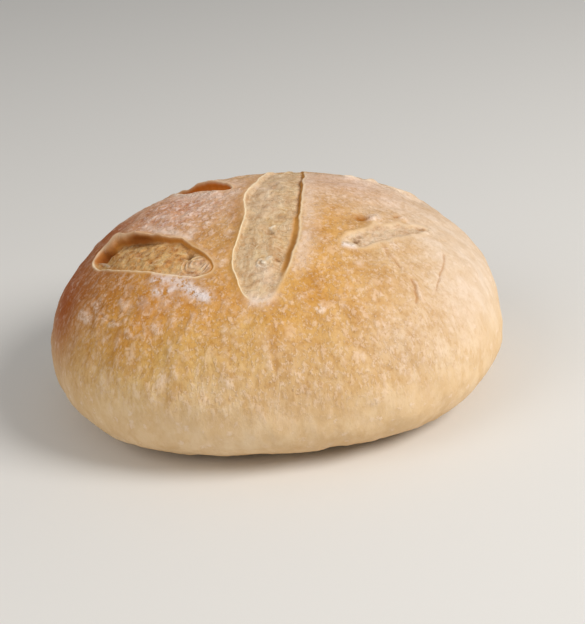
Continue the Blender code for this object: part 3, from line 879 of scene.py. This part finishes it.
class Graph:
    """Short hand for a material's nodes."""

    def __init__(self, name):
        self.material = bpy.data.materials.new(name)
        self.material.use_nodes = True
        self.tree = self.material.node_tree
        self.surface = next(node for node in self.tree.nodes if node.type == "BSDF_PRINCIPLED")

    def put(self, socket, value):
        if isinstance(value, bpy.types.NodeSocket):
            self.tree.links.new(value, socket)
        else:
            socket.default_value = value

    def node(self, kind, inputs):
        """Adds a node and fills its inputs, given by name or number."""
        node = self.tree.nodes.new("ShaderNode" + kind)
        for socket, value in inputs.items():
            self.put(node.inputs[socket], value)
        return node

    def attribute(self, name, output="Fac"):
        node = self.node("Attribute", {})
        node.attribute_name = name
        return node.outputs[output]

    def fields(self, *names):
        return [self.attribute(name) for name in names]

    def place(self):
        return self.node("TexCoord", {}).outputs["Object"]

    def vector(self, kind, a, b, output="Vector"):
        node = self.node("VectorMath", {0: a, 1: b})
        node.operation = kind
        return node.outputs[output]

    def noise(self, vector, scale, detail=4, roughness=0.55, output="Fac"):
        inputs = {"Vector": vector, "Scale": scale, "Detail": detail, "Roughness": roughness}
        return self.node("TexNoise", inputs).outputs[output]

    def part(self, vector, number):
        """One component of a vector."""
        return self.node("SeparateXYZ", {0: vector}).outputs[number]

    def warp(self, vector, scale, amount):
        """Pushes a vector about by smooth noise."""
        push = self.vector("SUBTRACT", self.noise(vector, scale, 2, output="Color"), (0.5, 0.5, 0.5))
        return self.vector("ADD", vector, self.vector("MULTIPLY", push, (amount, amount, amount)))

    def cells(self, vector, scale):
        """Distance to the nearest of many scattered centres, and a random value for each of them."""
        node = self.node("TexVoronoi", {"Vector": vector, "Scale": scale})
        split = self.node("SeparateColor", {0: node.outputs["Color"]})
        return node.outputs["Distance"], split.outputs[0]

    def math(self, kind, a, b=0, clamp=False):
        node = self.node("Math", {0: a, 1: b})
        node.operation = kind
        node.use_clamp = clamp
        return node.outputs[0]

    def product(self, *factors):
        result = factors[0]
        for factor in factors[1:]:
            result = self.math("MULTIPLY", result, factor)
        return result

    def most(self, *values):
        result = values[0]
        for value in values[1:]:
            result = self.math("MAXIMUM", result, value)
        return result

    def step(self, value, low, high, to_low=0, to_high=1):
        """Smooth step from to_low, where the value is low, to to_high, where it is high."""
        inputs = {"Value": value, "From Min": low, "From Max": high, "To Min": to_low, "To Max": to_high}
        node = self.node("MapRange", inputs)
        node.interpolation_type = "SMOOTHSTEP"
        return node.outputs["Result"]

    def mix(self, amount, a, b, kind="MIX"):
        """Mixes two colours; a tuple is a screen colour."""
        a, b = (linear(colour) if isinstance(colour, tuple) else colour for colour in (a, b))
        node = self.node("Mix", {0: amount, 6: a, 7: b})
        node.data_type = "RGBA"
        node.blend_type = kind
        return node.outputs[2]

    def darken(self, amount, colour, tone):
        return self.mix(amount, colour, tone, "MULTIPLY")

    def bump(self, height, distance, strength, before=None):
        inputs = {"Height": height, "Distance": distance, "Strength": strength}
        if before is not None:
            inputs["Normal"] = before
        return self.node("Bump", inputs).outputs["Normal"]


def fleck_cover(graph, skin, scale, least, most):
    """Irregular spots of one size: cells whose random value lies above a threshold."""
    distance, chance = graph.cells(graph.warp(skin, scale * 1.6, 1.6 / scale), scale)
    return graph.product(graph.step(chance, least, most), graph.step(distance, 0.66, 0.2))


def ring_wave(graph, fibre, centre, spacing, reach):
    """Ragged rings around one place of a cut's floor, fading out at their reach."""
    gap = graph.vector("DISTANCE", graph.warp(fibre, 160, 0.0022), centre, "Value")
    wave = graph.math("SINE", graph.math("MULTIPLY", gap, 2 * math.pi / spacing))
    broken = graph.step(graph.noise(fibre, 230, 2), 0.4, 0.6, 0.25, 1)
    return graph.product(wave, broken, graph.step(gap, reach, 0.6 * reach))


def baked_skin(graph, place):
    """Blotches, fine streaks running down, pale flecks of several sizes and darker pores.

    Returns the colour, how far flecks cover the skin, and the relief of its grain.
    """
    pale, shade, spotted = graph.fields("pale", "shade", "spotted")
    step, product = graph.step, graph.product
    skin = graph.vector("MULTIPLY", place, (1, 1, 0.6))
    rough_skin = step(spotted, 0, 1, 0.35, 1)
    busy = step(spotted, 1, 1.7)

    blotch = step(graph.noise(skin, 70, 5, 0.6), 0.6, 0.36)
    tone = graph.attribute("tone", "Color")
    colour = graph.darken(product(blotch, rough_skin, 0.52), tone, (230, 209, 166))
    mottle = step(graph.noise(skin, 125, 3, 0.6), 0.62, 0.42)
    colour = graph.darken(product(mottle, 0.35), colour, (233, 219, 192))
    darker = step(graph.noise(skin, 260, 4, 0.6), 0.52, 0.66)
    colour = graph.darken(product(darker, busy, 0.58), colour, (222, 176, 160))
    down = graph.vector("MULTIPLY", place, (1, 1, 0.35))
    streak = step(graph.noise(down, 520, 3, 0.6), 0.56, 0.38)
    colour = graph.darken(product(streak, step(spotted, 0.1, 1), 0.34), colour, (213, 188, 140))

    specks = step(graph.noise(skin, 640, 3, 0.6), 0.54, 0.63, 0, 0.55)
    patches = step(graph.noise(skin, 330, 4, 0.6), 0.57, 0.65, 0, 0.55)
    middle = product(fleck_cover(graph, skin, 360, 0.62, 0.9), 0.7)
    large = product(fleck_cover(graph, skin, 170, 0.84, 0.98), 0.5)
    flakes = product(fleck_cover(graph, skin, 290, 0.5, 0.8), busy, 0.75)
    fine_cover = product(graph.most(specks, patches, middle, large, flakes), spotted)
    single_cover = product(pale, step(graph.noise(place, 560, 5, 0.7), 0.4, 0.56, 0.25, 1))
    sparse = product(fleck_cover(graph, place, 320, 0.88, 0.96), step(spotted, 1, 0.3, 0, 0.5))
    single_cover = graph.most(single_cover, sparse)
    fine_tone = graph.mix(busy, (247, 222, 202), (248, 222, 210))
    colour = graph.mix(product(fine_cover, 0.54), colour, fine_tone)
    colour = graph.mix(product(single_cover, 0.74), colour, (249, 227, 210))
    pores = step(graph.noise(skin, 760, 2, 0.5), 0.42, 0.3)
    colour = graph.darken(product(pores, spotted, 0.26), colour, (196, 156, 98))
    # Darker marks on the skin: browner dents, with painted shade in the pits and cracks
    colour = graph.mix(shade, colour, (166, 102, 24))
    grain = product(graph.noise(skin, 380, 4, 0.55), rough_skin)
    return colour, graph.most(fine_cover, single_cover), grain


def torn_crumb(graph, place, fibre):
    """Crumpled skins, fibres along the cut, fine lines across its right side, rings, and painted shade in
    small holes and hollows.

    Returns the colour and the relief of the crumb.
    """
    pale, shade, ragged = graph.fields("pale", "shade", "ragged")
    step, product = graph.step, graph.product
    crumple = graph.noise(graph.warp(place, 150, 0.006), 300, 5, 0.65)
    browned = product(step(crumple, 0.56, 0.36), step(ragged, 0, 1, 0.3, 1), 0.75)
    torn = graph.darken(browned, graph.attribute("tone", "Color"), (204, 171, 120))
    clump = graph.noise(graph.warp(place, 90, 0.006), 170, 3)
    torn = graph.darken(product(step(clump, 0.52, 0.64), ragged, 0.5), torn, (206, 158, 104))
    torn = graph.mix(product(step(clump, 0.48, 0.36), ragged, 0.45), torn, (236, 208, 152))

    along = graph.vector("MULTIPLY", graph.warp(fibre, 120, 0.007), (110, 420, 1))
    fibres = graph.noise(along, 1, 5, 0.65)
    torn = graph.darken(step(fibres, 0.58, 0.36, 0, 0.45), torn, (216, 190, 152))
    torn = graph.mix(step(fibres, 0.55, 0.72, 0, 0.35), torn, (246, 232, 206))
    across = graph.vector("MULTIPLY", graph.warp(fibre, 200, 0.002), (900, 130, 1))
    lines = step(graph.noise(across, 1, 2, 0.5), 0.52, 0.4)
    to_right = step(graph.part(fibre, 1), -0.0005, -0.0065)
    torn = graph.darken(product(lines, to_right, 0.4), torn, (214, 188, 150))

    folds = graph.noise(graph.warp(place, 170, 0.007), 230, 3)
    fold_line = step(graph.math("ABSOLUTE", graph.math("SUBTRACT", folds, 0.5)), 0.03, 0)
    torn = graph.mix(product(fold_line, 0.35), torn, (244, 226, 192))
    rings = graph.math("ADD", *(ring_wave(graph, fibre, *ring) for ring in RINGS))
    torn = graph.mix(step(rings, 0.1, 0.9, 0, 0.38), torn, (246, 232, 210))
    torn = graph.darken(step(rings, -0.1, -0.9, 0, 0.22), torn, (196, 166, 130))
    torn = graph.mix(product(pale, 0.65), torn, (248, 236, 216))
    # Small holes in the crumb, painted dark as the shade inside them
    hole_gap, hole_chance = graph.cells(place, 260)
    painted_hole_shade = product(step(hole_chance, 0.9, 0.93), step(hole_gap, 0.16, 0.08))
    torn = graph.mix(product(painted_hole_shade, 0.7), torn, (120, 84, 52))
    # Painted shade in the hollows of the cut, and the darker marks
    torn = graph.mix(shade, torn, (124, 80, 38))

    crumpled = product(crumple, step(ragged, 0, 1, 0.5, 1), 1.1)
    height = graph.math("ADD", product(fibres, 0.45), crumpled)
    height = graph.math("ADD", height, graph.math("ADD", product(fold_line, 0.35), product(rings, 0.45)))
    return torn, height


def baked_wall(graph, fibre):
    """Colour of a cut's baked wall, with painted shade where it is deep."""
    grain = graph.noise(graph.vector("MULTIPLY", fibre, (300, 300, 1)), 1)
    grilled = graph.product(graph.step(grain, 0.35, 0.65), 0.3)
    baked = graph.darken(grilled, graph.attribute("tone", "Color"), (226, 196, 160))
    # Painted shade where the wall is deep or overhung
    return graph.mix(graph.product(graph.attribute("shade"), 0.85), baked, (130, 54, 20))


def crust_material():
    graph = Graph("baked_crust")
    place, fibre = graph.place(), graph.attribute("fibre", "Vector")
    crumb, rim, wall, flour, veil = graph.fields(*MATTER, "flour", "veil")
    step, product = graph.step, graph.product
    colour, cover, grain = baked_skin(graph, place)
    torn, torn_height = torn_crumb(graph, place, fibre)
    colour = graph.mix(crumb, colour, torn)
    colour = graph.mix(product(wall, 0.95), colour, baked_wall(graph, fibre))
    thin = step(graph.noise(place, 280, 5, 0.7), 0.36, 0.62, 0.45, 1)
    off_wall = graph.math("SUBTRACT", 1, wall, clamp=True)
    colour = graph.mix(product(veil, thin, off_wall, 0.8), colour, (244, 220, 202))
    # Pale rim on the lips: partly their own pale edge, partly painted highlight on the crest
    colour = graph.mix(rim, colour, (250, 232, 198))
    dust = product(flour, step(graph.noise(place, 300, 6, 0.75), 0.4, 0.54))
    colour = graph.mix(dust, colour, (240, 226, 222))
    graph.put(graph.surface.inputs["Base Color"], colour)
    graph.put(graph.surface.inputs["Roughness"], step(crumb, 0, 1, 0.58, 0.8))
    graph.surface.inputs["Specular IOR Level"].default_value = 0.04

    on_skin = graph.math("SUBTRACT", 1, crumb)
    raised = graph.math("ADD", product(cover, on_skin), product(dust, 0.6))
    normal = graph.bump(raised, 0.0003, 0.9)
    normal = graph.bump(graph.noise(place, 900, 4, 0.6), 0.00018, 0.7, normal)
    normal = graph.bump(grain, 0.00055, 0.8, normal)
    normal = graph.bump(graph.math("MULTIPLY", torn_height, crumb), 0.0006, 0.9, normal)
    graph.put(graph.surface.inputs["Normal"], normal)
    return graph.material


def floor_material():
    graph = Graph("pale_floor")
    graph.surface.inputs["Base Color"].default_value = FLOOR_COLOUR
    graph.surface.inputs["Roughness"].default_value = 0.9
    return graph.material


# ---- build
def add_object(name, data):
    thing = bpy.data.objects.new(name, data)
    bpy.context.scene.collection.objects.link(thing)
    return thing


def grow_shell():
    """Builds the whole surface; returns it with the outlines of the cuts."""
    shell = Shell()
    rims, outlines = [], []
    for number, cut in enumerate(CUTS.values(), start=1):
        outer, inner, outline = cut_edge(shell, cut, number)
        cut_floor(shell, cut, number, *inner)
        rims.append(outer)
        outlines.append(outline)
    side_and_foot(shell, *upper_crust(shell, rims))
    return shell, outlines


def add_field(mesh, name, values, kind="FLOAT", slot="value"):
    layer = mesh.attributes.new(name, kind, "POINT")
    layer.data.foreach_set(slot, np.asarray(values, dtype=np.float32).ravel())


def build_loaf():
    shell, outlines = grow_shell()
    plan, matter, fibre = np.array(shell.plans), np.array(shell.matter), np.array(shell.fibre)
    number = fibre[:, 2].astype(int)
    fields = {name: np.zeros(len(plan)) for name in ("height", "pale", "shade")}
    fields["spotted"] = fleck_share(plan, matter, outlines)
    add_blisters(plan, fields)
    add_marks(plan, fields)
    paint_hollow_shade(plan, matter, number, fields)
    fields["flour"], fields["veil"] = dusting(FLOUR, plan), dusting(VEILS, plan)
    fields["ragged"] = np.array([0] + [cut["ragged"] for cut in CUTS.values()])[number]

    above_foot = from_crown(plan) < FOOT_DISTANCE
    lift = fields.pop("height")[:, None] * above_foot[:, None]
    points = (np.array(shell.points) + outward(plan) * lift) / MILLIMETRES_IN_METRE
    points[:, 2] = np.maximum(points[:, 2], 0)
    low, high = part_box("loaf")
    centre = (points.min(axis=0) + points.max(axis=0)) / 2
    for axis in (0, 1):
        points[:, axis] += (low[axis] + high[axis]) / 2 - centre[axis]
    mesh = bpy.data.meshes.new("loaf_crust")
    mesh.from_pydata(points.tolist(), [], shell.faces)
    mesh.update()
    mesh.shade_smooth()
    for column, name in enumerate(MATTER):
        add_field(mesh, name, matter[:, column])
    for name, values in fields.items():
        add_field(mesh, name, values)
    fibre[:, :2] /= MILLIMETRES_IN_METRE
    add_field(mesh, "fibre", fibre, "FLOAT_VECTOR", "vector")
    add_field(mesh, "tone", tone_of(plan, matter, number), "FLOAT_COLOR", "color")

    mesh.materials.append(crust_material())
    loaf = add_object("loaf_crust", mesh)
    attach(loaf, "root")
    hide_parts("loaf")


def build_stage():
    mesh = bpy.data.meshes.new("floor")
    corners = [(x * FLOOR_REACH, y * FLOOR_REACH, 0) for x, y in ((-1, -1), (1, -1), (1, 1), (-1, 1))]
    mesh.from_pydata(corners, [], [(0, 1, 2, 3)])
    mesh.materials.append(floor_material())
    floor = add_object("floor", mesh)


def facing(place, aim):
    """Rotation that points a lamp or a camera from a place at an aim."""
    return (Vector(aim) - Vector(place)).to_track_quat("-Z", "Y")


def add_lamp(name, size, power, place):
    lamp = bpy.data.lights.new(name, "AREA")
    lamp.shape = "DISK"
    lamp.size = size
    lamp.energy = power
    lamp.color = WARM_WHITE
    holder = add_object(name, lamp)
    holder.location = place
    holder.rotation_euler = facing(place, LOAF_MIDDLE).to_euler()


def light_the_scene():
    for lamp in LAMPS:
        add_lamp(*lamp)
    world = bpy.data.worlds.new("studio")
    world.use_nodes = True
    back = world.node_tree.nodes["Background"]
    back.inputs["Color"].default_value = STUDIO_COLOUR
    back.inputs["Strength"].default_value = STUDIO_STRENGTH
    bpy.context.scene.world = world
    bpy.context.scene.view_settings.view_transform = "Standard"


def place_camera():
    data = bpy.data.cameras.new("camera")
    data.lens = CAMERA_LENS
    data.clip_start = 0.05
    camera = add_object("camera", data)
    back = Vector((0, -math.cos(CAMERA_TILT), math.sin(CAMERA_TILT)))
    camera.location = Vector(LOAF_MIDDLE) + back * CAMERA_DISTANCE
    roll = Quaternion((0, 0, 1), -CAMERA_ROLL)
    camera.rotation_euler = (facing(camera.location, CAMERA_AIM) @ roll).to_euler()
    bpy.context.scene.camera = camera


build_loaf()
build_stage()
light_the_scene()
place_camera()
